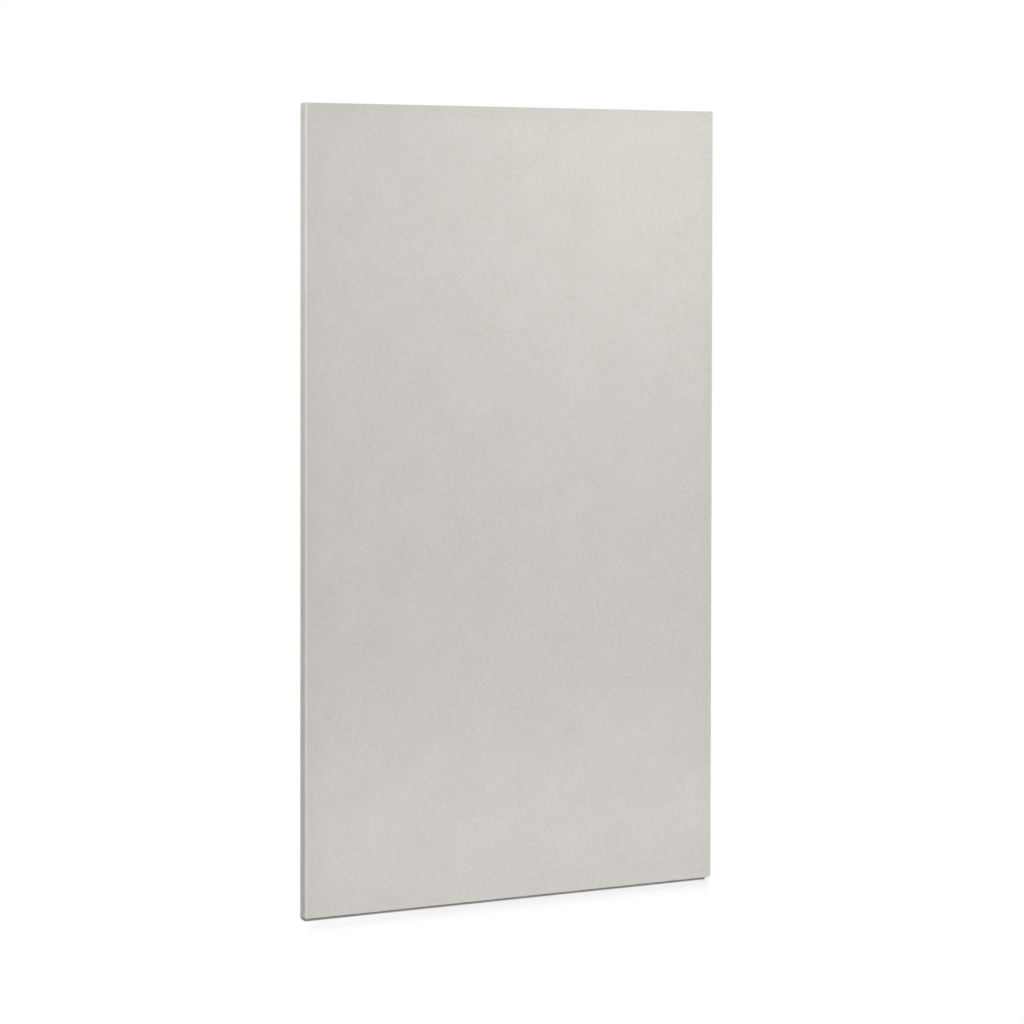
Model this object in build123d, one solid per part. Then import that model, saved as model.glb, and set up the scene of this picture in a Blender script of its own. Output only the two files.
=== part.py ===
from build123d import *
import os

# Drywall sheet: one flat board of gypsum bound in paper, formed as an endless ribbon
# and cut square to length. The finished face is up and the back lies on the floor.
# Origin: under the middle of the sheet, on the plane of the back.
# +X runs across the sheet, +Y along it and +Z out of the finished face.

# Overall size, in millimetres
SHEET_LENGTH = 1220.0
SHEET_WIDTH = 900.0
SHEET_THICKNESS = 12.5

# Bound long edges: the face paper turns round the edge over two creases
FACE_CREASE_RADIUS = 2.0
BACK_CREASE_RADIUS = 1.2

# Back paper: pasted over the turned-in face paper, stopping short of the long edges
BACK_PAPER_MARGIN = 20.0
BACK_PAPER_STEP = 0.3


def section_outline():
    """Corners of the board's section, as (across, up), before its creases are rounded."""
    half_board = SHEET_WIDTH / 2
    half_back_paper = half_board - BACK_PAPER_MARGIN
    right_side = [
        (half_back_paper, 0),
        (half_back_paper, BACK_PAPER_STEP),
        (half_board, BACK_PAPER_STEP),
        (half_board, SHEET_THICKNESS),
    ]
    left_side = [(-across, up) for across, up in reversed(right_side)]
    return right_side + left_side


def long_edge_corners(section):
    """Corners on the two long edges in rows, from the back of the board to its face."""
    columns = section.vertices().group_by(Axis.X)
    return ShapeList(columns[0] + columns[-1]).group_by(Axis.Y)


def bound_edge_section():
    """The section across the sheet: square long edges with the paper's rounded creases."""
    with BuildSketch(Plane.XZ) as section:
        with BuildLine():
            Polyline(*section_outline(), close=True)
        make_face()
        fillet(long_edge_corners(section)[0], BACK_CREASE_RADIUS)
        fillet(long_edge_corners(section)[-1], FACE_CREASE_RADIUS)
    return section.sketch


def drywall_sheet():
    """The section carried along the length, with a square cut at each end."""
    with BuildPart() as sheet:
        extrude(bound_edge_section(), amount=SHEET_LENGTH / 2, both=True)
    return sheet.part


os.makedirs("parts", exist_ok=True)
export_step(drywall_sheet(), "parts/drywall_sheet.step")
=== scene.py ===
# %% [markdown]
# # A drywall sheet on a studio floor
#
# Drywall is foamed gypsum cast between two papers as an endless ribbon, then cut to length. The
# face paper is the wider one: it turns round both long edges over two creases, and the back
# paper is pasted over what is turned in. So the white core shows only at the two cut ends.
#
# The board could be modelled by eye, but the CAD model already has its true size. It is loaded
# first, as a fixed frame, and every size below comes from it or is a real size in metres.

# %% Load the frame and measure the board
import math

import bpy
import numpy as np
from mathutils import Matrix, Vector


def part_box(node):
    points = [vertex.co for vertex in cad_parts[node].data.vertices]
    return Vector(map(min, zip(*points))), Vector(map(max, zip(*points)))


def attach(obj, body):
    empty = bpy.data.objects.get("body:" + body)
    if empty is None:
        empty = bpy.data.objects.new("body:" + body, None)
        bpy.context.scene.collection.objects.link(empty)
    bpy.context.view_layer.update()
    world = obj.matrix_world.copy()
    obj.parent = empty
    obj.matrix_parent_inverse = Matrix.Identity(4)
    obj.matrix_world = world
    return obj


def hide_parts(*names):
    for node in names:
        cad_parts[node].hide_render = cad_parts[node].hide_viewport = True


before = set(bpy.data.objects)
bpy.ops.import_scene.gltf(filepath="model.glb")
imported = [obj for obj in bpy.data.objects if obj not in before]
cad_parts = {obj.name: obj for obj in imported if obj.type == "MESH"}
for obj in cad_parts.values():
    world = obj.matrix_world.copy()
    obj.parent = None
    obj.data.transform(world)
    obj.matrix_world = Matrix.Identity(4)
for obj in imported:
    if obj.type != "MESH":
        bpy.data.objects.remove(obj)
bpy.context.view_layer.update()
low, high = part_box("drywall_sheet")
half_width = (high.x - low.x) / 2
half_length = (high.y - low.y) / 2
thickness = high.z - low.z
print(f"board {2 * half_width:.3f} x {2 * half_length:.3f} x {thickness:.4f} m")

# %% [markdown]
# ## The bound edge
#
# A long edge is square, with a soft crease where the paper leaves the face and a smaller one
# where it reaches the back. A bevel modifier could round a box, but a box has no paper. Here
# the edge is a formula: a quarter circle, a straight rise and another quarter circle. With its
# radii made smaller by the paper's thickness, the same formula gives the outline of the core.

# %% The bound edge as a curve
FACE_CREASE_RADIUS = 0.0020
BACK_CREASE_RADIUS = 0.0012
BACK_PAPER_STEP = 0.0003
CREASE_STEPS = 6
SIDE_STEPS = 8


def crease(middle, radius, start, end):
    """A quarter circle: the middle plus radius times (cosine, sine) of an angle in even steps."""
    angle = np.radians(np.linspace(start, end, CREASE_STEPS + 1))
    return middle + radius * np.column_stack((np.cos(angle), np.sin(angle)))


def bound_edge(inset):
    """The right long edge as (across, up), from its back crease to its face crease.

    Both quarter circles keep their middles and lose the inset from their radius, and the side
    is a straight blend between them, so any inset gives a curve at that even distance.
    """
    back_middle = np.array((half_width - BACK_CREASE_RADIUS, BACK_PAPER_STEP + BACK_CREASE_RADIUS))
    face_middle = np.array((half_width - FACE_CREASE_RADIUS, thickness - FACE_CREASE_RADIUS))
    back = crease(back_middle, BACK_CREASE_RADIUS - inset, -90, 0)
    face = crease(face_middle, FACE_CREASE_RADIUS - inset, 0, 90)
    share = np.linspace(0, 1, SIDE_STEPS + 1)[1:-1, None]
    side = back[-1] * (1 - share) + face[0] * share
    return np.vstack((back, side, face))


edge = bound_edge(0)
print(f"bound edge: {len(edge)} points, {edge[:, 1].max() - edge[:, 1].min():.4f} m high")

# %% [markdown]
# ## The whole section
#
# Cut across, the board shows the flat face, a bound edge on each side, and the back paper as a
# thin step that stops short of both edges. The points of that outline could be typed in or
# spaced evenly, but most of them would be wasted on the flats. Here they are worked out as one
# closed loop, and a power of the distance from the edge crowds them where the shape turns.

# %% The section loop
BACK_PAPER_MARGIN = 0.020
ACROSS_STEPS = 56
MARGIN_STEPS = 4
CROWDING = 1.7
MIRROR = (-1, 1)


def crowded(reach, steps):
    """Places from minus reach to reach: the share left to the edge is raised to a power."""
    even = np.linspace(-1, 1, steps + 1)
    return reach * np.sign(even) * (1 - (1 - np.abs(even)) ** CROWDING)


def level(across, up):
    """Points (across, up) that all lie at one height."""
    return np.column_stack((across, np.full(len(across), up)))


def section_loop():
    """Points (across, up) round the section: right edge, face, left edge, then the back.

    The left edge and margin are the right ones mirrored and taken in the opposite order. The
    face leaves out its two end points, because the edges have them already.
    """
    half_back_paper = half_width - BACK_PAPER_MARGIN
    face = level(crowded(edge[-1, 0], ACROSS_STEPS)[-2:0:-1], thickness)
    paper = level(crowded(half_back_paper, ACROSS_STEPS), 0.0)
    turned_in = np.linspace(half_back_paper, edge[0, 0], MARGIN_STEPS + 1)[:-1]
    margin = level(turned_in, BACK_PAPER_STEP)
    return np.vstack((edge, face, edge[::-1] * MIRROR, margin[::-1] * MIRROR, paper, margin))


loop = section_loop()
print(f"section loop: {len(loop)} points")

# %% [markdown]
# ## The paper along the board
#
# The machine forms the board as a ribbon with the same section all along. Blender's extrude
# tool could draw the loop out in the same way. As a grid of loop points by stations the skin
# stays a plain array, so a later step, such as softening a corner, works on all points at once.

# %% Carry the loop along the length
LENGTH_STEPS = 96

stations = crowded(half_length, LENGTH_STEPS)
wrap = np.empty((len(stations), len(loop), 3))
wrap[:, :, 0] = loop[:, 0]
wrap[:, :, 1] = stations[:, None]
wrap[:, :, 2] = loop[:, 1]
wrap_ids = np.arange(wrap.shape[0] * wrap.shape[1]).reshape(wrap.shape[:2])


def wrap_quads(ids):
    """Each square joins two neighbours on the loop with the same two at the next station."""
    following = np.roll(ids, -1, axis=1)
    corners = (ids[:-1], ids[1:], following[1:], following[:-1])
    return np.stack(corners, axis=-1).reshape(-1, 4)


paper_quads = wrap_quads(wrap_ids)
print(f"paper: {wrap_ids.size} points, {len(paper_quads)} squares")

# %% [markdown]
# ## Noise for broken gypsum
#
# Cut gypsum is crumbly: fine grit, shallow hollows and the pores of the foam. A bump map would
# do from afar, but it vanishes at the outline, so the relief is made of real points. Blender's
# own textures could push them. Value noise is short enough to write out, which keeps its seed
# in plain sight: random heights on a lattice, blended smoothly between the four nearest.

# %% Value noise
RELIEF_SEED = 7
SAMPLE_CELL = 0.3


def smooth(share):
    """A share from 0 to 1 with a gentle start and end: 3 times its square less twice its cube."""
    return share**2 * (3 - 2 * share)


def value_noise(across, up, cell, draw):
    """Heights from 0 to 1: lattice values weighted by smooth shares of the place between them."""
    column = np.floor(across / cell).astype(int)
    row = np.floor(up / cell).astype(int)
    column = column - column.min()
    row = row - row.min()
    lattice = draw.random((column.max() + 2, row.max() + 2))
    right = smooth(across / cell % 1)
    above = smooth(up / cell % 1)
    lower = lattice[column, row] * (1 - right) + lattice[column + 1, row] * right
    upper = lattice[column, row + 1] * (1 - right) + lattice[column + 1, row + 1] * right
    return lower * (1 - above) + upper * above


sample = value_noise(*np.mgrid[0:1:9j, 0:1:9j], SAMPLE_CELL, np.random.default_rng(RELIEF_SEED))
print(f"value noise: a sample runs from {sample.min():.2f} to {sample.max():.2f}")

# %% [markdown]
# ## The cut core
#
# At an end the gypsum lies a little lower than the two papers, because it breaks out before
# they do. One flat face could fill the end, but it has no points to push. So the core is a
# grid: its rows follow the heights of the bound edge and its columns are even shares of a row,
# which keeps the outline. The relief fades out at the border, where the paper holds the gypsum.

# %% The grid of the cut core
PAPER_PLY = 0.00035
CORE_COLUMNS = 1200


def core_grid():
    """Arrays of across and up: a row for each point of the edge, by even shares of its width.

    Between the back paper's borders the rows sink by its step, all of it at the back and none
    at the face. A third array has the distance inwards from the nearest border.
    """
    reach, height = np.hsplit(bound_edge(PAPER_PLY), 2)
    across = reach * np.linspace(-1, 1, CORE_COLUMNS + 1)
    up = np.repeat(height, CORE_COLUMNS + 1, axis=1)
    over_paper = np.abs(across) < half_width - BACK_PAPER_MARGIN
    height_share = (up - up.min()) / (up.max() - up.min())
    up = up - over_paper * BACK_PAPER_STEP * (1 - height_share)
    inside = np.minimum(up - up[:1], up[-1:] - up)
    return across, up, np.minimum(inside, reach - np.abs(across))


core_across, core_up, core_inside = core_grid()
print(f"core grid: {core_across.shape[0]} rows by {core_across.shape[1]} columns")

# %% The relief of the cut core
CORE_RECESS = 0.00012
# The height of the grit for each size of its grains
GRIT_HEIGHTS = {0.0060: 0.00016, 0.0022: 0.00020, 0.0011: 0.00012}
PORE_SIZE = 0.0017
PORE_LEVEL = 0.74
PORE_DEPTH = 0.0007
BORDER_REACH = 0.0006


def core_depth(across, up, inside, draw):
    """How far the core lies below the paper's edge: a recess, grit of three sizes, and pores.

    Grit is noise times a height for its size. Pores are the part of one more noise that rises
    above a level. All of it is multiplied by a share that grows from 0 at the border.
    """
    grit = sum(height * value_noise(across, up, size, draw) for size, height in GRIT_HEIGHTS.items())
    peaks = value_noise(across, up, PORE_SIZE, draw) - PORE_LEVEL
    pores = np.clip(peaks, 0, None) / (1 - PORE_LEVEL)
    return (CORE_RECESS + grit + PORE_DEPTH * pores) * np.clip(inside / BORDER_REACH, 0, 1)


deepest = CORE_RECESS + sum(GRIT_HEIGHTS.values()) + PORE_DEPTH
print(f"core relief: {deepest * 1000:.1f} mm deep at most")

# %% [markdown]
# ## The cut edge of the paper
#
# Round the core the knife leaves the paper's own edge in view, a third of a millimetre thick.
# Its outer side has the few points of the loop and its inner side the many of the grid.
# Blender's bridge tool can join two such rows, but it decides by itself which points belong
# together. Here each step of the fine row goes to the nearest point of the coarse row, and
# each step of the coarse row to the fine point where that choice moves on.

# %% A strip between two rows of points
def stitch(outer, outer_at, inner, inner_at):
    """Triangles between a coarse and a fine row, anticlockwise: one for each step of each row."""
    outer_halfway = (outer_at[1:] + outer_at[:-1]) / 2
    inner_halfway = (inner_at[1:] + inner_at[:-1]) / 2
    nearest = np.searchsorted(outer_halfway, inner_halfway)
    moves_on = np.searchsorted(nearest, np.arange(1, len(outer)))
    fine = np.column_stack((outer[nearest], inner[1:], inner[:-1]))
    coarse = np.column_stack((outer[:-1], outer[1:], inner[moves_on]))
    return np.vstack((fine, coarse))


few = np.linspace(0, 1, 3)
many = np.linspace(0, 1, 5)
strip = stitch(np.arange(len(few)), few, np.arange(len(many)), many)
print(f"stitch: a row of {len(few)} points and one of {len(many)} give {len(strip)} triangles")

# %% Four strips round the core
edge_last = len(edge) - 1
face_last = edge_last + ACROSS_STEPS
left_last = face_last + edge_last
up_right = slice(0, edge_last + 1)
over_face = slice(edge_last, face_last + 1)
down_left = slice(face_last, left_last + 1)
along_back = np.append(np.arange(left_last, len(loop)), 0)


def ply_triangles(ring, grid):
    """The cut edge of the paper: a strip each on the right, the face, the left and the back."""
    rows = np.arange(len(edge))
    across = loop[:, 0]
    strips = (
        stitch(ring[up_right], rows, grid[:, -1], rows),
        stitch(ring[over_face], -across[over_face], grid[-1, ::-1], -core_across[-1, ::-1]),
        stitch(ring[down_left], rows, grid[::-1, 0], rows),
        stitch(ring[along_back], across[along_back], grid[0], core_across[0]),
    )
    return np.vstack(strips)


print(f"strips: the loop turns at its points {edge_last}, {face_last} and {left_last}")

# %% [markdown]
# ## Both ends
#
# The foot and the head are cut by the same knife, but no two cuts crumble alike. Copying one
# end to the other would show. The same steps run twice instead, with the random numbers going
# on from one end to the next. Seen from outside, the head is the foot turned round, so the
# corners of its faces are listed backwards to keep them facing outwards.

# %% Close both ends
FOOT, HEAD = -1, 1


def grid_quads(ids):
    """Each square joins two neighbours of a row with the same two of the row above."""
    corners = (ids[:-1, :-1], ids[:-1, 1:], ids[1:, 1:], ids[1:, :-1])
    return np.stack(corners, axis=-1).reshape(-1, 4)


skin = [wrap.reshape(-1, 3)]
core_quads = []
ply_tris = []
draw = np.random.default_rng(RELIEF_SEED)
for end, ring in ((FOOT, wrap_ids[0]), (HEAD, wrap_ids[-1])):
    depth = core_depth(core_across, core_up, core_inside, draw)
    along = end * (half_length - depth)
    grid = sum(map(len, skin)) + np.arange(along.size).reshape(along.shape)
    skin.append(np.stack((core_across, along, core_up), axis=-1).reshape(-1, 3))
    core_quads.append(grid_quads(grid)[:, ::-end])
    ply_tris.append(ply_triangles(ring, grid)[:, ::-end])
    print(f"end {end:+d}: core relief up to {depth.max() * 1000:.2f} mm deep")
points = np.vstack(skin)

# %% [markdown]
# ## Soft corners
#
# A sheet is carried and set down on its corners, so they lose their points first. A bevel on
# the corner edges would cut through the paper's strips and the core's grid. Here the points
# only move. Inside a small square at a corner, a point's larger offset from the square's inner
# corner becomes its distance from there, which turns the square into a quarter disc. The same
# formula rounds the arris under the left corners, where the back has been crushed.

# %% Soften the corners
LEFT, RIGHT = -1, 1
CORNER_RADII = {
    (LEFT, FOOT): 0.0012,
    (RIGHT, FOOT): 0.0050,
    (LEFT, HEAD): 0.0006,
    (RIGHT, HEAD): 0.0006,
}


def rounded(first, second):
    """The share that makes a quarter disc of a square: the larger offset over their length."""
    inside = (first > 0) & (second > 0)
    length = np.where(inside, np.hypot(first, second), 1)
    return np.where(inside, np.maximum(first, second) / length, 1)


def soften_corner(points, side, end, radius):
    """Rounds a corner as seen from above: both offsets are multiplied by the rounded share."""
    across = side * points[:, 0] - half_width + radius
    along = end * points[:, 1] - half_length + radius
    share = rounded(across, along)
    points[:, 0] += side * across * (share - 1)
    points[:, 1] += end * along * (share - 1)
    return np.count_nonzero(share < 1)


for (side, end), radius in CORNER_RADII.items():
    moved = soften_corner(points, side, end, radius)
    print(f"corner {side:+d},{end:+d}: {moved} points moved, radius {radius * 1000:.1f} mm")

# %% Soften the arris under the left corners
ARRIS_RADII = {(LEFT, FOOT): 0.0016, (LEFT, HEAD): 0.0050}
ARRIS_REACH = 0.030


def soften_arris(points, side, end, radius):
    """Rounds the arris between an end and the back, as soften_corner does, seen from the side.

    The radius fades out along the end, by the square of the share of the reach that is left.
    """
    fade = np.clip(1 - (half_width - side * points[:, 0]) / ARRIS_REACH, 0, 1)
    faded = radius * fade**2
    along = end * points[:, 1] - half_length + faded
    down = faded - points[:, 2]
    share = rounded(along, down)
    points[:, 1] += end * along * (share - 1)
    points[:, 2] -= down * (share - 1)
    return np.count_nonzero(share < 1)


for (side, end), radius in ARRIS_RADII.items():
    moved = soften_arris(points, side, end, radius)
    print(f"arris {side:+d},{end:+d}: {moved} points moved, radius {radius * 1000:.1f} mm")

# %% [markdown]
# ## One closed skin
#
# On the real board the papers and the core are bonded and can't be taken apart. They could be
# separate objects, but then light would leak in at their borders. The paper, its cut edges and
# the two core faces share their border points, so the board is one closed mesh, and each face
# has the number of its finish. Smooth shading keeps the creases round, and an angle past which
# an edge counts as sharp keeps the cuts crisp.

# %% Put the arrays into a mesh
FACE_PAPER, BACK_PAPER, CUT_PAPER, GYPSUM_CORE = range(4)
SHARP_ANGLE = math.radians(40)
board_name = "paper_bound_board"

on_back = np.abs(loop[:, 1]) < BACK_PAPER_STEP / 2
back_strip = on_back & np.roll(on_back, -1)
paper_finish = np.tile(np.where(back_strip, BACK_PAPER, FACE_PAPER), LENGTH_STEPS)
core_faces = np.vstack(core_quads)
core_finish = np.full(len(core_faces), GYPSUM_CORE)
ply_faces = np.vstack(ply_tris)
ply_finish = np.full(len(ply_faces), CUT_PAPER)

mesh = bpy.data.meshes.new(board_name)
mesh.from_pydata(points, [], paper_quads.tolist() + core_faces.tolist() + ply_faces.tolist())
finish_numbers = np.concatenate((paper_finish, core_finish, ply_finish))
mesh.polygons.foreach_set("material_index", finish_numbers)
mesh.shade_smooth()
mesh.set_sharp_from_angle(angle=SHARP_ANGLE)
print(f"mesh: {len(mesh.vertices)} points, {len(mesh.polygons)} faces, valid {not mesh.validate()}")

# %% Let the board stand for the CAD node
board = bpy.data.objects.new(board_name, mesh)
bpy.context.scene.collection.objects.link(board)
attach(board, "root")
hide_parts("drywall_sheet")
print(board_name, [round(size, 4) for size in board.dimensions], "m")

# %% [markdown]
# ## A flat map of the skin
#
# Other programs need the finish as a picture, which is baked through a UV map. Blender can
# unwrap the board by itself, but then the narrow edges get only a few pixels. The skin is a
# grid already, so it is unrolled here by its own formula: the place round the section goes
# across the map and the place along the board goes up it. The edges are drawn wider, the back
# narrower, and the two cut ends stand beside the roll.

# %% Unroll the paper
MAP_NAME = "OFBake"
MAP_RIM_SHARE = 0.006
ROLL_SHARE = 0.935
EDGE_SCALE = 2.5
BACK_SCALE = 0.45


def up_map(share):
    """A share of the board's length or width as a height on the map, inside its rim."""
    return MAP_RIM_SHARE + (1 - 2 * MAP_RIM_SHARE) * share


def roll_map():
    """Each square's corners: across, the scaled length round the section, and up, the station."""
    scale = np.ones(len(loop))
    scale[:edge_last] = EDGE_SCALE
    scale[face_last:left_last] = EDGE_SCALE
    scale[left_last:] = BACK_SCALE
    steps = scale * np.linalg.norm(np.roll(loop, -1, axis=0) - loop, axis=1)
    unrolled_share = np.append(0, np.cumsum(steps)) / steps.sum()
    u = MAP_RIM_SHARE + ROLL_SHARE * (1 - unrolled_share)
    v = up_map((stations + half_length) / (2 * half_length))
    flat = np.empty((len(stations) - 1, len(loop), 4, 2))
    flat[..., 0] = np.stack((u[:-1], u[:-1], u[1:], u[1:]), axis=-1)
    flat[..., 1] = np.stack((v[:-1], v[1:], v[1:], v[:-1]), axis=-1)[:, None]
    return flat.reshape(-1, 2)


flat_roll = roll_map()
print(f"roll: {len(flat_roll)} corners, up to {flat_roll[:, 0].max():.3f} across the map")

# %% Lay the cut ends beside the roll
END_SHARE = 0.018
END_START_SHARES = {FOOT: 0.950, HEAD: 0.977}


def end_map(faces, end):
    """The corners of a cut end, turned upright: across by the height and up by the width."""
    corners = points[faces].reshape(-1, 3)
    u = END_START_SHARES[end] + END_SHARE * (1 - corners[:, 2] / thickness)
    return np.column_stack((u, up_map(0.5 - end * corners[:, 0] / (2 * half_width))))


flat_ends = [
    end_map(faces, end)
    for both_ends in (core_quads, ply_tris)
    for faces, end in zip(both_ends, (FOOT, HEAD))
]
flat_map = np.vstack((flat_roll, *flat_ends))
mesh.uv_layers.new(name=MAP_NAME).uv.foreach_set("vector", flat_map.astype(np.float32).ravel())
print(f"map: {len(flat_map)} corners from {flat_map.min():.3f} to {flat_map.max():.3f}")

# %% [markdown]
# ## Painted highlight, painted shade and wear on the paper
#
# The crown of a face crease is painted paler, as a highlight, and the paper along a cut end is
# faintly paler where it is scuffed in handling. The face is painted a touch greyer for a few
# centimetres along its long edges and its head, and the bound side is marked so that the
# material can paint it darker, as shade. All this could be painted by hand, stroke by stroke.
# It depends only on the distance to the crease, the cut or the side, so a formula gives each
# point its share, kept as an attribute that the material can read.

# %% Painted crease highlight, cut-end wear and the shaded bound side
CROWN_ANGLE = math.radians(56)
CREASE_REACH = 0.0013
CUT_REACH = 0.0012
CUT_WEAR_SHARE = 0.1
EDGE_REACH = 0.0006


def write_share(name, share):
    """Keeps a share for each point under a name."""
    layer = mesh.attributes.new(name, "FLOAT", "POINT")
    layer.data.foreach_set("value", share.astype(np.float32))
    print(f"attribute {name}: mean {share.mean():.3f}, highest {share.max():.3f}")


def worn_share(distance, reach):
    """A bell: e to the power of minus the square of the distance over the reach."""
    return np.exp(-((distance / reach) ** 2))


across = np.abs(points[:, 0])
along = np.abs(points[:, 1])
up = points[:, 2]
crown_across = half_width - FACE_CREASE_RADIUS * (1 - math.cos(CROWN_ANGLE))
crown_up = thickness - FACE_CREASE_RADIUS * (1 - math.sin(CROWN_ANGLE))
# The crown of the face crease is painted paler, as a highlight.
crease_highlight_share = worn_share(np.hypot(across - crown_across, up - crown_up), CREASE_REACH)
cut_share = worn_share(half_length - along, CUT_REACH) * (up > thickness / 2)
# One attribute carries the painted crease highlight and the faint wear along the cut ends.
write_share("worn", np.maximum(crease_highlight_share, CUT_WEAR_SHARE * cut_share))
# Marks the bound side, which the material paints darker, as shade, and a touch yellower.
write_share("shaded_bound_side", np.clip((across - half_width + BACK_CREASE_RADIUS) / EDGE_REACH, 0, 1))

# %% The greyer edges of the face
# How far from the left and right long edges and the head the face is painted greyer.
LEFT_GREYING_REACH = 0.055
RIGHT_GREYING_REACH = 0.035
HEAD_GREYING_REACH = 0.035

greying_shares = (
    1 - (half_width + points[:, 0]) / LEFT_GREYING_REACH,
    1 - (half_width - points[:, 0]) / RIGHT_GREYING_REACH,
    1 - (half_length - points[:, 1]) / HEAD_GREYING_REACH,
)
write_share("handled", smooth(np.clip(np.max(greying_shares, axis=0), 0, 1)))

# %% [markdown]
# ## Colours as light
#
# A paper's colour is known as display levels, such as 204 of 255. A shader works with amounts
# of light, and the display's own curve lies between the two. Blender's colour field converts a
# hex code, one at a time. As a function, with the numbers of the display standard, the curve
# is a few lines, and the levels stay readable below.

# %% From display levels to light
FULL_LEVEL = 255
LINE_END_SHARE = 0.04045
LINE_SLOPE = 12.92
CURVE_OFFSET = 0.055
CURVE_POWER = 2.4


def linear(*levels):
    """A colour for a shader: a straight line for the darkest levels, a power for the others."""
    share = np.array(levels) / FULL_LEVEL
    line = share / LINE_SLOPE
    curve = ((share + CURVE_OFFSET) / (1 + CURVE_OFFSET)) ** CURVE_POWER
    light = np.where(share <= LINE_END_SHARE, line, curve)
    return (*light.tolist(), 1.0)


print("a grey of level 204 is", round(linear(204, 204, 204)[0], 3), "in light")

# %% [markdown]
# ## Wiring nodes
#
# A finish is a network of nodes. It could be wired by hand in the shader editor, where each
# node is a box and each link a line. In a script every node takes several lines, so a small
# class adds a node and fills or links its inputs in one.

# %% A network of nodes
class Network:
    """A node tree that is being wired."""

    def __init__(self, tree):
        self.tree = tree

    def node(self, kind, inputs=None, **settings):
        """Adds a node, sets its properties, and links or fills its inputs by name or number."""
        made = self.tree.nodes.new(kind)
        for name, value in settings.items():
            setattr(made, name, value)
        for socket, value in (inputs or {}).items():
            if isinstance(value, bpy.types.NodeSocket):
                self.tree.links.new(value, made.inputs[socket])
            else:
                made.inputs[socket].default_value = value
        return made

    def maths(self, operation, *values):
        """One step of arithmetic on sockets or numbers."""
        return self.node("ShaderNodeMath", dict(enumerate(values)), operation=operation).outputs[0]


print("a network can add:", ", ".join(name for name in vars(Network) if not name.startswith("_")))

# %% [markdown]
# ## A finish with real sizes
#
# Paper and gypsum have a grain of a real size that lies still on the board. A picture laid over
# it would have to be fitted and would repeat. Noise on the piece's own coordinates, which are
# in metres, has neither trouble: its scale is one over the size of the grain.

# %% A finish
NOISE_MEAN = 0.5
# A Mix node has a set of sockets for each kind of data. These are the ones for colours.
COLOUR_INPUTS = (0, 6, 7)
COLOUR_OUTPUT = 2


class Finish(Network):
    """A material that is being wired, with its shader and the coordinates of its piece."""

    def __init__(self, name, roughness, specular):
        self.material = bpy.data.materials.new(name)
        self.material.use_nodes = True
        super().__init__(self.material.node_tree)
        self.shader = self.tree.nodes["Principled BSDF"]
        self.shader.inputs["Roughness"].default_value = roughness
        self.shader.inputs["Specular IOR Level"].default_value = specular
        self.place = self.node("ShaderNodeTexCoord").outputs["Object"]

    def noise(self, size, detail, scale=(1, 1, 1)):
        """Noise with grains about size metres wide, longer along an axis whose scale is below 1."""
        place = self.node("ShaderNodeMapping", {"Vector": self.place, "Scale": scale}).outputs[0]
        inputs = {"Vector": place, "Scale": 1 / size, "Detail": detail}
        return self.node("ShaderNodeTexNoise", inputs).outputs[0]

    def swing(self, noise, amount):
        """The noise less its mean, times an amount."""
        return self.maths("MULTIPLY", self.maths("SUBTRACT", noise, NOISE_MEAN), amount)

    def blend(self, share, below, above):
        """A colour between two, by a share from 0 to 1."""
        inputs = dict(zip(COLOUR_INPUTS, (share, below, above)))
        return self.node("ShaderNodeMix", inputs, data_type="RGBA").outputs[COLOUR_OUTPUT]

    def attribute(self, name):
        """A value that the mesh carries on its points."""
        return self.node("ShaderNodeAttribute", attribute_name=name).outputs["Fac"]

    def bump(self, height, distance, strength):
        """Tilts the shading normal as if the surface rose by height times distance metres."""
        inputs = {"Height": height, "Distance": distance, "Strength": strength}
        tilted = self.node("ShaderNodeBump", inputs).outputs[0]
        self.tree.links.new(tilted, self.shader.inputs["Normal"])

    def colour(self, socket):
        """Links the finished colour to the shader."""
        self.tree.links.new(socket, self.shader.inputs["Base Color"])


print("a finish can add:", ", ".join(name for name in vars(Finish) if not name.startswith("_")))

# %% [markdown]
# ## Pulp
#
# Both papers are made of pulp, which is never quite even. It has clouds where the fibres
# settled thicker, a finer mottle, and the fibres themselves, which lie mostly along the board,
# the way the paper ran through its machine. One noise with much detail could stand for all
# three, but each has a size, a direction and a strength of its own. So each is one noise, and
# one function adds them up for either paper.

# %% Pulp
TONE_MEAN = 0.5


def pulp(paper, layers):
    """The tone, a half plus each layer's swing, and the relief, the mottle plus the fibres."""
    noises = {}
    tone = TONE_MEAN
    for name, layer in layers.items():
        noises[name] = paper.noise(layer["size"], layer["detail"], layer["scale"])
        tone = paper.maths("ADD", tone, paper.swing(noises[name], layer["swing"]))
    return tone, paper.maths("ADD", noises["mottle"], noises["fibres"])


print(f"pulp: a tone that swings about {TONE_MEAN}")

# %% [markdown]
# ## The face paper
#
# The face is a warm light grey with no print and no gloss, and its clouds and mottle are a
# little wider than long. A plain colour would look like plastic, and strong noise like stone,
# so the tone swings only between two near greys. By the three attributes, the face is greyer
# along its long edges and its head, the bound side is painted darker, as shade, and a touch
# yellower, and the crease crown is painted paler in patches, as a highlight, with faint wear
# along the cut ends.

# %% Face paper
PAPER_DARK = linear(190, 187, 181)
PAPER_PALE = linear(217, 214, 209)
# The bound side's paper is painted darker than the face, as shade, and a touch yellower.
SHADED_SIDE_DARK = linear(184, 182, 171)
SHADED_SIDE_PALE = linear(209, 207, 198)
# A paler paper: a painted highlight on the crease crown, and faint wear along the cut ends.
PAPER_HIGHLIGHT_AND_WEAR = linear(222, 219, 212)
FACE_PULP = {
    "clouds": dict(size=0.060, detail=4, scale=(0.70, 1, 1), swing=0.34),
    "mottle": dict(size=0.0050, detail=1.5, scale=(0.70, 1, 1), swing=0.54),
    "fibres": dict(size=0.0011, detail=2, scale=(1, 0.5, 1), swing=0.25),
}
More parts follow.
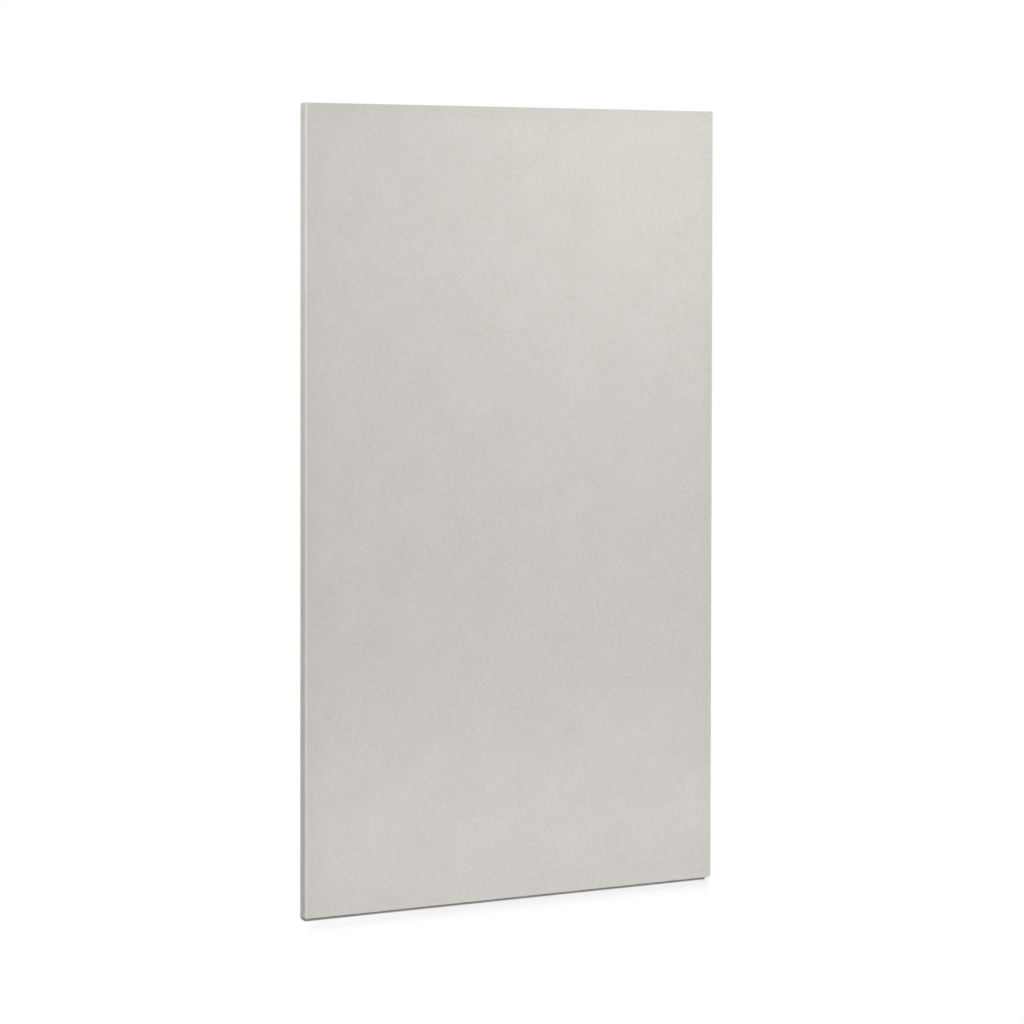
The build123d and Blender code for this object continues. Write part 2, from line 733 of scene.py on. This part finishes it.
# How much greyer the face is painted along its long edges and its head.
EDGE_GREYING_SHARE = 0.10
SHADED_SIDE_SHARE = 0.7
# How strongly and how patchily the painted crease highlight and the cut-end wear show.
HIGHLIGHT_AND_WEAR_SHARE = 0.85
HIGHLIGHT_AND_WEAR_SWING = 0.7


def face_paper():
    """Two greys less the edge greying, darker yellower ones as the side's painted shade, then the
    painted highlight and wear.
    """
    paper = Finish("face_paper", roughness=0.88, specular=0.25)
    tone, relief = pulp(paper, FACE_PULP)
    # The face is painted greyer along its long edges and its head.
    greying = paper.maths("MULTIPLY", paper.attribute("handled"), EDGE_GREYING_SHARE)
    face = paper.blend(paper.maths("SUBTRACT", tone, greying), PAPER_DARK, PAPER_PALE)
    # The side paper, painted darker, as shade, and a touch yellower.
    side = paper.blend(tone, SHADED_SIDE_DARK, SHADED_SIDE_PALE)
    at_shaded_side = paper.maths("MULTIPLY", paper.attribute("shaded_bound_side"), SHADED_SIDE_SHARE)
    patches = paper.swing(paper.noise(size=0.016, detail=3, scale=(1, 0.5, 1)), HIGHLIGHT_AND_WEAR_SWING)
    highlight_and_wear_strength = paper.maths("ADD", patches, HIGHLIGHT_AND_WEAR_SHARE)
    # The painted crease highlight, in patches, and the cut-end wear.
    worn = paper.maths("MULTIPLY", paper.attribute("worn"), highlight_and_wear_strength)
    paper.colour(paper.blend(worn, paper.blend(at_shaded_side, face, side), PAPER_HIGHLIGHT_AND_WEAR))
    paper.bump(relief, distance=0.00006, strength=0.2)
    return paper.material


mesh.materials.append(face_paper())
print(f"finish {FACE_PAPER}: {mesh.materials[FACE_PAPER].name}")

# %% [markdown]
# ## The back paper
#
# The back is made of cheaper pulp: greyer and browner, with a stronger grain and scattered
# flecks of darker fibre. The flecks could be hundreds of tiny faces. It is simpler to take the
# same pulp with other sizes and add a noise cut off high up, which leaves only its peaks.

# %% Back paper
BACK_DARK = linear(150, 143, 131)
BACK_PALE = linear(188, 181, 168)
BACK_FLECK = linear(112, 104, 93)
BACK_PULP = {
    "clouds": dict(size=0.045, detail=3, scale=(1, 1, 1), swing=0.6),
    "mottle": dict(size=0.0045, detail=3, scale=(1, 1, 1), swing=0.6),
    "fibres": dict(size=0.0013, detail=2, scale=(1, 0.18, 1), swing=0.7),
}
FLECK_LEVEL = 0.7
FLECK_CONTRAST = 5.0


def back_paper():
    """Two grey browns mixed by the tone, with flecks where a noise rises above a level."""
    paper = Finish("back_paper", roughness=0.92, specular=0.2)
    tone, relief = pulp(paper, BACK_PULP)
    peaks = paper.noise(size=0.0019, detail=1, scale=(1, 0.3, 1))
    above_level = paper.maths("SUBTRACT", peaks, FLECK_LEVEL)
    flecks = paper.maths("MULTIPLY", above_level, FLECK_CONTRAST)
    flecks = paper.node("ShaderNodeClamp", {"Value": flecks}).outputs[0]
    paper.colour(paper.blend(flecks, paper.blend(tone, BACK_DARK, BACK_PALE), BACK_FLECK))
    paper.bump(relief, distance=0.00008, strength=0.6)
    return paper.material


mesh.materials.append(back_paper())
print(f"finish {BACK_PAPER}: {mesh.materials[BACK_PAPER].name}")

# %% [markdown]
# ## The cut paper and the core
#
# Where the knife went through, the paper shows its raw fibres and the gypsum its chalky white.
# More and finer points could carry all of that grain, but they would make the mesh heavy. The
# core's larger pores are in the mesh already, so the material adds only what is finer.

# %% Cut paper and gypsum
CUT_DARK = linear(168, 161, 149)
CUT_PALE = linear(202, 196, 185)
GYPSUM_DARK = linear(200, 197, 190)
GYPSUM_PALE = linear(230, 228, 223)
GRAIN_SWING = 1.6


def grainy(name, dark, pale, size, relief):
    """A dry surface: two tones mixed by one noise, which also gives the grit its height."""
    dry = Finish(name, roughness=0.95, specular=0.15)
    grain = dry.noise(size, detail=4)
    tone = dry.maths("ADD", dry.swing(grain, GRAIN_SWING), TONE_MEAN)
    dry.colour(dry.blend(tone, dark, pale))
    dry.bump(grain, distance=relief, strength=0.7)
    return dry.material


mesh.materials.append(grainy("cut_paper", CUT_DARK, CUT_PALE, size=0.0008, relief=0.00010))
mesh.materials.append(grainy("gypsum_core", GYPSUM_DARK, GYPSUM_PALE, size=0.0010, relief=0.00015))
for number in (CUT_PAPER, GYPSUM_CORE):
    print(f"finish {number}: {mesh.materials[number].name}")

# %% [markdown]
# ## The white studio
#
# The board lies in a white studio, whose walls fill in the shade. A picture of a real studio
# could be the world, but it would bring colours and bright spots of its own. Plain white is
# enough. A white as bright as it looks would drown the shading, though, so the world is white
# only where it is seen, by the camera or in a mirror, and dim for the rays that carry light.

# %% World
WORLD_SHARE = 0.11


def seen_directly(network):
    """1 for camera, mirror and glass rays, 0 for the rays that carry light."""
    path = network.node("ShaderNodeLightPath").outputs
    mirrored = network.maths("MAXIMUM", path["Is Glossy Ray"], path["Is Transmission Ray"])
    return network.maths("MAXIMUM", path["Is Camera Ray"], mirrored)


world = bpy.data.worlds.new("studio")
world.use_nodes = True
bpy.context.scene.world = world
sky = Network(world.node_tree)
background = sky.tree.nodes["Background"]
background.inputs["Color"].default_value = (1, 1, 1, 1)
brightness = sky.maths("MAXIMUM", seen_directly(sky), WORLD_SHARE)
sky.tree.links.new(brightness, background.inputs["Strength"])
print(f"world: white where it is seen, {WORLD_SHARE} as light")

# %% [markdown]
# ## The key light
#
# The key comes from the head of the board and a little from its left, so the shadow is a thin
# line along the foot. A near lamp would make one end brighter. A sun's light is parallel and
# has the same strength all over, and a small disc keeps its shadow crisp. Straight above, a
# sun of strength pi lights matt white to one. World, key and lamps add up to about one on the
# face, so a colour renders about as it is written.

# %% Key
KEY_SHARE = 0.648
KEY_LEAN_HEAD = math.radians(23)
KEY_LEAN_LEFT = math.radians(8)
KEY_DISC = math.radians(4)

key_from = Vector((-math.tan(KEY_LEAN_LEFT), math.tan(KEY_LEAN_HEAD), 1)).normalized()
key = bpy.data.lights.new("key", "SUN")
key.angle = KEY_DISC
key.energy = math.pi * KEY_SHARE / key_from.z
key_holder = bpy.data.objects.new("key", key)
key_holder.rotation_euler = key_from.to_track_quat("Z", "Y").to_euler()
bpy.context.scene.collection.objects.link(key_holder)
print(f"key: strength {key.energy:.2f}, from {[round(v, 2) for v in key_from]}")

# %% [markdown]
# ## The floor
#
# The floor is a pale sweep with no horizon. A curved backdrop could hide the horizon, but it
# would need room and lamps of its own. Here the floor is one square. Where the board's shadow
# falls, at its foot and right, it is matt white, so that it keeps the shadow. Further out it
# glows as white as the background for camera and mirror rays, and still lights the board as a
# matt floor would.
#
# The white starts at a distance of its own past each side of the board. A distance below zero
# lies under the board. Towards the foot's left corner the shade thins out and then ends, so a
# part of the white comes nearer there, and close to the corner its border runs aslant.

# %% Where the floor is white
WHITE_PAST = {
    "left": (-0.003, -0.001),
    "right": (0.006, 0.012),
    "foot": (0.002, 0.030),
    "head": (-0.004, 0.000),
}
THIN_PAST_FOOT = (0.0045, 0.0075)
THIN_TO_LEFT = (-0.400, -0.060)
THIN_SHARE = 0.60
END_TO_LEFT = (-0.070, -0.004)
CORNER_SLOPE = 0.55
CORNER_PAST_SLANT = (-0.0024, 0.0008)
CORNER_TO_LEFT = (-0.026, -0.004)


def ramp(network, value, start, end):
    """0 up to the start, 1 from the end on, and a smooth rise between them."""
    inputs = {"Value": value, "From Min": start, "From Max": end}
    rise = network.node("ShaderNodeMapRange", inputs, interpolation_type="SMOOTHSTEP")
    return rise.outputs[0]


def white_share(floor):
    """The largest of the shares past each side, of the thinned shade and of the slanting corner."""
    across, along, _ = floor.node("ShaderNodeSeparateXYZ", {"Vector": floor.place}).outputs
    past = {
        "left": floor.maths("MULTIPLY_ADD", across, -1, -half_width),
        "right": floor.maths("SUBTRACT", across, half_width),
        "foot": floor.maths("MULTIPLY_ADD", along, -1, -half_length),
        "head": floor.maths("SUBTRACT", along, half_length),
    }
    thin = floor.maths("MULTIPLY", ramp(floor, past["left"], *THIN_TO_LEFT), THIN_SHARE)
    thin = floor.maths("MAXIMUM", thin, ramp(floor, past["left"], *END_TO_LEFT))
    thin = floor.maths("MULTIPLY", thin, ramp(floor, past["foot"], *THIN_PAST_FOOT))
    slant = floor.maths("MULTIPLY_ADD", past["left"], CORNER_SLOPE, past["foot"])
    corner = ramp(floor, slant, *CORNER_PAST_SLANT)
    corner = floor.maths("MULTIPLY", corner, ramp(floor, past["left"], *CORNER_TO_LEFT))
    share = floor.maths("MAXIMUM", thin, corner)
    for side, span in WHITE_PAST.items():
        share = floor.maths("MAXIMUM", share, ramp(floor, past[side], *span))
    return share


for side, (start, end) in WHITE_PAST.items():
    print(f"floor: white from {start * 1000:.0f} to {end * 1000:.0f} mm past the {side}")

# %% Floor
FLOOR_REACH = 14.0
FLOOR_DROP = 0.0002
FLOOR_WHITE = (0.92, 0.92, 0.92, 1.0)


def pale_floor():
    """Matt white mixed with a white glow, by the white share of the rays that see it directly."""
    floor = Finish("pale_floor", roughness=1.0, specular=0.0)
    floor.shader.inputs["Base Color"].default_value = FLOOR_WHITE
    share = floor.maths("MULTIPLY", white_share(floor), seen_directly(floor))
    glow = floor.node("ShaderNodeEmission").outputs[0]
    mix = floor.node("ShaderNodeMixShader", {0: share, 1: floor.shader.outputs[0], 2: glow})
    floor.tree.links.new(mix.outputs[0], floor.tree.nodes["Material Output"].inputs["Surface"])
    return floor.material


floor_mesh = bpy.data.meshes.new("floor")
square = np.array(((-1, -1), (1, -1), (1, 1), (-1, 1))) * FLOOR_REACH
floor_mesh.from_pydata([(x, y, -FLOOR_DROP) for x, y in square], [], [(0, 1, 2, 3)])
floor_mesh.materials.append(pale_floor())
floor = bpy.data.objects.new("floor", floor_mesh)
bpy.context.scene.collection.objects.link(floor)
print(f"floor: {2 * FLOOR_REACH:.0f} m wide, {FLOOR_DROP * 1000:.1f} mm below the board")

# %% [markdown]
# ## The three lamps
#
# The face isn't lit quite evenly. The key could be tilted or doubled for that, but it shades a
# flat board the same all over. An area lamp's light falls off with the square of its distance,
# so one within a metre or two does it. One above the right of the head makes the upper right
# the brightest part, a strip over the foot lifts it a little, and a low one at the left lights
# the bound edge near the head.

# %% Lamps
LAMPS = {
    "head_lamp": dict(at=(0.38, 0.80, 1.04), aim=(0.20, 0.50, 0), size=(0.6, 0.3), watts=4.45),
    "foot_strip": dict(at=(0.10, -0.53, 0.31), aim=(0.10, -0.53, 0), size=(1.5, 0.1), watts=0.50),
    "edge_lamp": dict(at=(-1.54, 0.58, 0.16), aim=(-0.45, 0.70, 0), size=(0.4, 0.2), watts=4.44),
}

for name, lamp in LAMPS.items():
    light = bpy.data.lights.new(name, "AREA")
    light.shape = "RECTANGLE"
    light.size, light.size_y = lamp["size"]
    light.energy = lamp["watts"]
    holder = bpy.data.objects.new(name, light)
    holder.location = lamp["at"]
    shines_along = Vector(lamp["aim"]) - holder.location
    holder.rotation_euler = shines_along.to_track_quat("-Z", "Y").to_euler()
    holder.visible_camera = False
    bpy.context.scene.collection.objects.link(holder)
    print(f"{name}: {lamp['watts']} W at {lamp['at']}")

# %% [markdown]
# ## The camera
#
# The picture looks down on the board from its left, with the head of the board at the top. A
# near camera would make the sides run together. This one has a long lens and stands almost ten
# metres off, so they stay nearly parallel. It could be placed and turned by hand, but from the
# aim, two leans, a slight roll and the distance, its place and turn follow. The Standard view
# shows the light as it is, with no film curve over it.

# %% Camera
LENS_MILLIMETRES = 224.34
CAMERA_DISTANCE = 9.8415
LEAN_LEFT = math.radians(45.87)
LEAN_HEAD = math.radians(2.487)
ROLL = math.radians(0.097)
AIM = Vector((-0.0079, -0.0134, thickness))

towards = Vector((-math.sin(LEAN_LEFT), math.tan(LEAN_HEAD), math.cos(LEAN_LEFT))).normalized()
right = Vector((0, 1, 0)).cross(towards).normalized()
upright = Matrix((right, towards.cross(right), towards)).transposed()
turn = upright @ Matrix.Rotation(ROLL, 3, "Z")
camera_data = bpy.data.cameras.new("camera")
camera_data.lens = LENS_MILLIMETRES
camera = bpy.data.objects.new("camera", camera_data)
camera.matrix_world = Matrix.Translation(AIM + towards * CAMERA_DISTANCE) @ turn.to_4x4()
bpy.context.scene.collection.objects.link(camera)
bpy.context.scene.camera = camera
bpy.context.scene.view_settings.view_transform = "Standard"
print("camera at", [round(v, 3) for v in camera.location])

# %% [markdown]
# ## The sizes
#
# Dressing a part must not change its size. That could be judged by eye, but a millimetre is
# easily missed, so the size of the CAD model is printed when it is loaded, and the size of the
# dressed board when it stands in for the CAD node.
